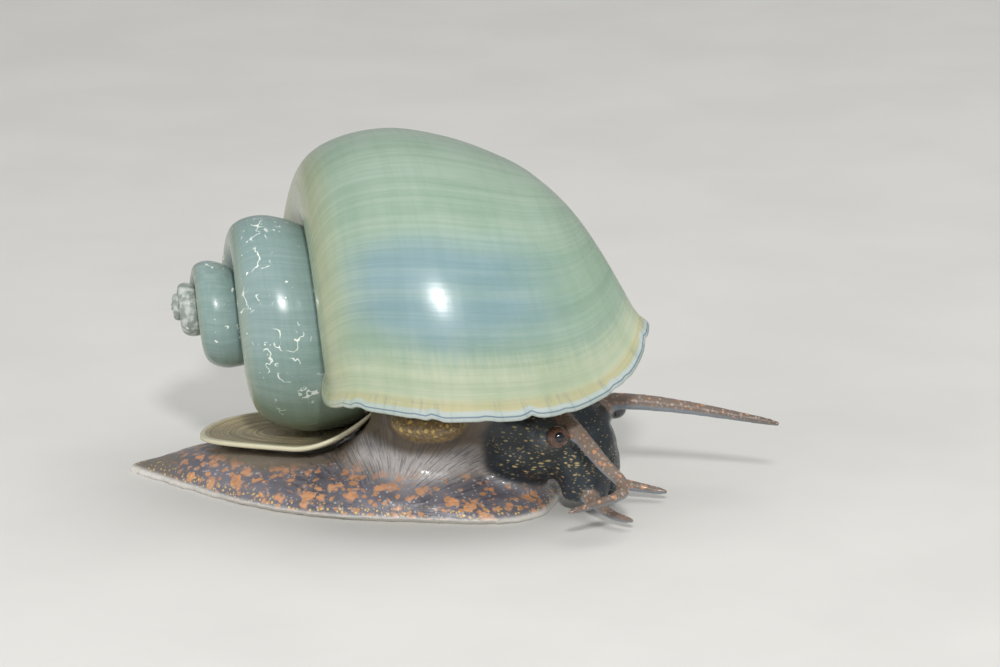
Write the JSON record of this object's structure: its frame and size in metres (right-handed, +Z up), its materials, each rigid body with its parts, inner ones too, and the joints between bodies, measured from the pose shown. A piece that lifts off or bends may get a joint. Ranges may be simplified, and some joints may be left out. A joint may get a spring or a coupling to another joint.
{
  "type": "apple snail",
  "caption": "Still, life-size apple snail, crawling: a smooth coiled shell with a pointed spire over a flat foot, horny lid, head, eyes on short stalks, feelers and palps.",
  "frame": {"origin": "on the flat of the sole, under the middle of the foot", "axes": "+X the way the snail crawls, +Y its left side, +Z up from the ground"},
  "size_m": [0.0552, 0.0291, 0.0308],
  "materials": {
    "eye": "glossy, brown ring round a black pupil",
    "head_skin": "wet skin, nearly black, with gold flecks",
    "foot_skin": "wet skin, slate grey with orange blotches",
    "mantle_skin": "wet skin, tan",
    "neck_skin": "wet skin, grey brown, finely wrinkled",
    "operculum": "horn, satin, olive tan",
    "feeler_skin": "wet skin, grey brown with gold dots",
    "shell": "glossy pale green, with a thin whitish lip"
  },
  "bodies": {
    "root": {"eye_left": "eye", "eye_right": "eye", "eye_stalk_left": "head_skin", "eye_stalk_right": "head_skin", "foot_front": "foot_skin", "foot_middle": "foot_skin", "foot_tail": "foot_skin", "head": "head_skin", "mantle": "mantle_skin", "neck": "neck_skin", "nuchal_lobe_right": "mantle_skin", "opercular_lobe": "foot_skin", "operculum": "operculum", "palp_left": "feeler_skin", "palp_right": "feeler_skin", "shell": "shell", "siphon_left": "mantle_skin", "snout": "head_skin", "tentacle_left_1": "feeler_skin", "tentacle_left_2": "feeler_skin", "tentacle_left_3": "feeler_skin", "tentacle_right_1": "feeler_skin", "tentacle_right_2": "feeler_skin", "tentacle_right_3": "feeler_skin"}
  },
  "joints": []
}
